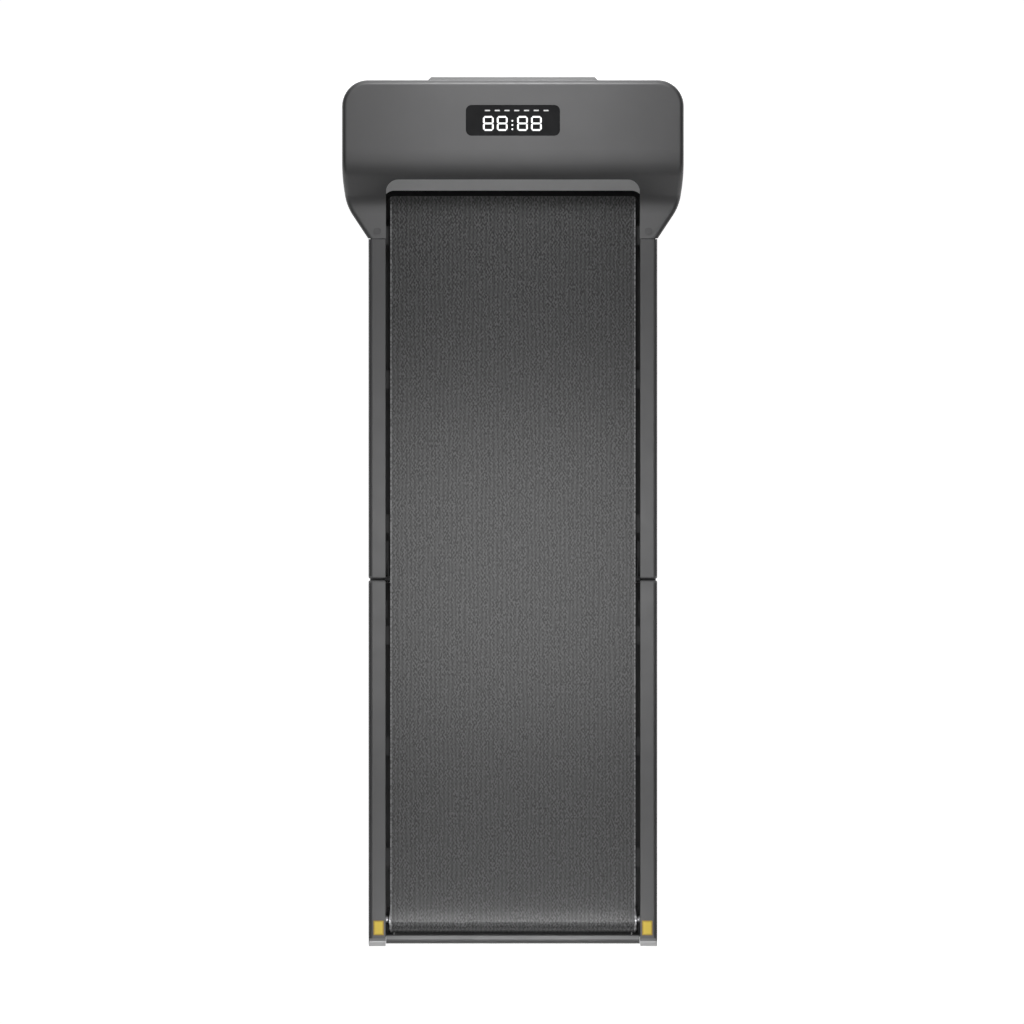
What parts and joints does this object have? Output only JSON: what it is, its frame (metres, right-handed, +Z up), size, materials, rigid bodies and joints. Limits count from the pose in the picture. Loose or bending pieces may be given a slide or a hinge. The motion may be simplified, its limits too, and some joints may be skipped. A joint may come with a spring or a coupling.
{
  "type": "walking pad",
  "caption": "Flat under-desk walking treadmill that folds in half, with a low motor head with display, side rails, a running belt over rollers, transport wheels and a power inlet.",
  "frame": {"origin": "middle of the footprint on the floor", "axes": "+Y towards the motor head, +X to the right of a walker who faces the head, +Z up"},
  "size_m": [0.55, 1.4, 0.12],
  "materials": {
    "hood_plastic": "satin, fine grain",
    "pan_plastic": "matt, fine grain",
    "rail_plastic": "satin, fine grain",
    "plug_plastic": "satin",
    "guard_plastic": "satin",
    "panel_plastic": "satin",
    "cap_plastic": "satin",
    "rear_bar_plastic": "satin",
    "window_gloss": "gloss black",
    "soft_black": "matt",
    "bumper_rubber": "matt",
    "plate_yellow": "satin yellow",
    "frame_steel": "black powder coat",
    "tray_steel": "zinc plated",
    "hinge_steel": "black coated",
    "bright_steel": "bright",
    "roller_steel": "turned",
    "bolt_steel": "zinc plated",
    "deck_wood": "waxed phenolic film",
    "foot_rubber": "matt",
    "belt_surface": "fine woven texture",
    "inlet_plastic": "matt black",
    "contact_brass": "bright",
    "rocker_plastic": "gloss black",
    "wheel_rubber": "matt",
    "motor_paint": "black paint",
    "pulley_alloy": "machined",
    "drive_rubber": "matt",
    "circuit_board": "solder mask green",
    "sink_alloy": "extruded",
    "capacitor_sleeve": "sleeved"
  },
  "bodies": {
    "front_half": {"base_pan": "pan_plastic", "belt_front": "belt_surface", "belt_guard": "guard_plastic", "belt_guard_lip": "soft_black", "controller_board": "circuit_board", "controller_capacitors": "capacitor_sleeve", "controller_heatsink": "sink_alloy", "display_board": "circuit_board", "display_window": "window_gloss", "drive_belt": "drive_rubber", "fold_bumpers": "bumper_rubber", "front_beam_left": "frame_steel", "front_beam_right": "frame_steel", "front_bearings": "bright_steel", "front_cross_members": "frame_steel", "front_deck_board": "deck_wood", "front_deck_cushions": "soft_black", "front_feet": "foot_rubber", "front_fold_plugs": "plug_plastic", "front_hinge_brackets": "hinge_steel", "front_panel": "panel_plastic", "front_rail_cover_left": "rail_plastic", "front_rail_cover_right": "rail_plastic", "head_tray": "tray_steel", "hinge_pins": "bright_steel", "hood": "hood_plastic", "inlet_pins": "contact_brass", "motor_bracket": "tray_steel", "motor_housing": "motor_paint", "power_inlet": "inlet_plastic", "switch_frame": "inlet_plastic", "wheel_axles": "bright_steel"},
    "rear_half": {"belt_rear": "belt_surface", "rear_beam_left": "frame_steel", "rear_beam_right": "frame_steel", "rear_cross_members": "frame_steel", "rear_deck_board": "deck_wood", "rear_deck_cushions": "soft_black", "rear_rail_cover_left": "rail_plastic", "rear_rail_cover_right": "rail_plastic", "rear_fold_plugs": "plug_plastic", "rear_hinge_brackets": "hinge_steel", "rear_axle": "bright_steel", "tension_plates": "frame_steel", "rear_end_cap_left": "cap_plastic", "rear_end_cap_right": "cap_plastic", "rear_guard": "rear_bar_plastic", "rear_feet": "foot_rubber", "rail_plates": "plate_yellow"},
    "front_roller": {"front_roller": "roller_steel", "front_pulley": "pulley_alloy"},
    "rear_roller": {"rear_roller": "roller_steel", "rear_roller_bearings": "bright_steel"},
    "motor_rotor": {"motor_rotor": "roller_steel", "motor_pulley": "pulley_alloy"},
    "wheel_left": {"transport_wheel_left": "wheel_rubber"},
    "wheel_right": {"transport_wheel_right": "wheel_rubber"},
    "power_rocker": {"power_rocker": "rocker_plastic"},
    "tension_bolt_left": {"tension_bolt_left": "bolt_steel"},
    "tension_bolt_right": {"tension_bolt_right": "bolt_steel"}
  },
  "joints": [
    {"name": "fold", "type": "hinge", "parent": "front_half", "child": "rear_half", "pos_m": [0, -0.109, 0.06075], "axis": [-1, 0, 0], "range_deg": [0, 180]},
    {"name": "front_roller_spin", "type": "hinge", "parent": "front_half", "child": "front_roller", "pos_m": [0, 0.545, 0.033], "axis": [1, 0, 0], "continuous": true},
    {"name": "rear_roller_spin", "type": "hinge", "parent": "rear_half", "child": "rear_roller", "pos_m": [0, -0.656, 0.033], "axis": [1, 0, 0], "continuous": true},
    {"name": "motor_spin", "type": "hinge", "parent": "front_half", "child": "motor_rotor", "pos_m": [0.15, 0.603, 0.053], "axis": [1, 0, 0], "continuous": true},
    {"name": "wheel_left_spin", "type": "hinge", "parent": "front_half", "child": "wheel_left", "pos_m": [-0.205, 0.672, 0.021], "axis": [1, 0, 0], "continuous": true},
    {"name": "wheel_right_spin", "type": "hinge", "parent": "front_half", "child": "wheel_right", "pos_m": [0.205, 0.672, 0.021], "axis": [1, 0, 0], "continuous": true},
    {"name": "power_rocker_tilt", "type": "hinge", "parent": "front_half", "child": "power_rocker", "pos_m": [-0.06, 0.6924, 0.058], "axis": [0, 0, 1], "range_deg": [0, 14]},
    {"name": "tension_bolt_left_turn", "type": "hinge", "parent": "rear_half", "child": "tension_bolt_left", "pos_m": [-0.2185, -0.687, 0.033], "axis": [0, 1, 0], "range_deg": [-360, 360]},
    {"name": "tension_bolt_right_turn", "type": "hinge", "parent": "rear_half", "child": "tension_bolt_right", "pos_m": [0.2185, -0.687, 0.033], "axis": [0, 1, 0], "range_deg": [-360, 360]}
  ],
  "couplings": [
    {"joint": "rear_roller_spin", "follows": "front_roller_spin", "ratio": 1},
    {"joint": "motor_spin", "follows": "front_roller_spin", "ratio": 2}
  ]
}
